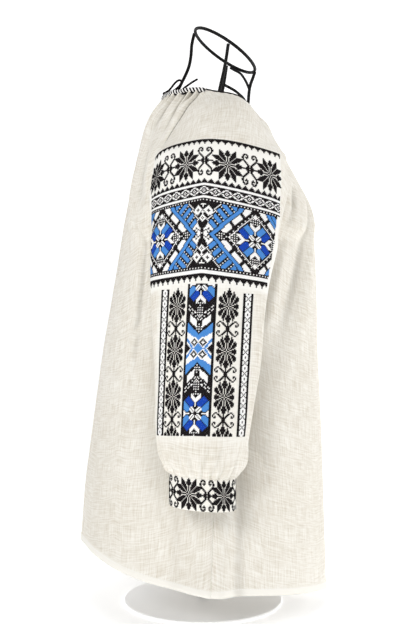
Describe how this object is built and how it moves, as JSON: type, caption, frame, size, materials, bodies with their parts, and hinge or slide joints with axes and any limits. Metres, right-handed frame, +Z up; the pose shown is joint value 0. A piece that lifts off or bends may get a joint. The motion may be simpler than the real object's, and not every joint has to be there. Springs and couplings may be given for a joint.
{
  "type": "romanian blouse on a wire dress form",
  "caption": "Loose off-white raglan blouse with cross-stitched sleeves, gathered neck and cuffs, standing on an open wire dress form.",
  "frame": {"origin": "on the floor under the middle of the blouse's hem, at the bottom centre of the bounding box", "axes": "+Z up, +X the wearer's front, +Y the wearer's left"},
  "size_m": [0.346, 0.4822, 0.8023],
  "materials": {
    "linen": "plain-woven off-white linen, slightly slubbed, with black, blue and white cotton cross stitch on the sleeves",
    "cord": "twisted black and cream cotton cord",
    "wire": "black enamelled steel wire",
    "foot": "pale powder-coated steel plate"
  },
  "bodies": {
    "root": {"front_panel": "linen", "back_panel": "linen", "right_sleeve": "linen", "left_sleeve": "linen", "right_cuff": "linen", "left_cuff": "linen", "neck_binding": "cord", "tie_knot": "cord", "tie_loop": "cord", "tie_end": "cord", "bust_ring": "wire", "waist_ring": "wire", "hip_ring": "wire", "neck_ring": "wire", "front_wire": "wire", "back_wire": "wire", "right_wire": "wire", "left_wire": "wire", "collar_wire": "wire", "neck_brace": "wire", "pole": "wire", "front_spoke": "wire", "back_spoke": "wire", "right_spoke": "wire", "left_spoke": "wire", "foot": "foot"}
  },
  "joints": []
}
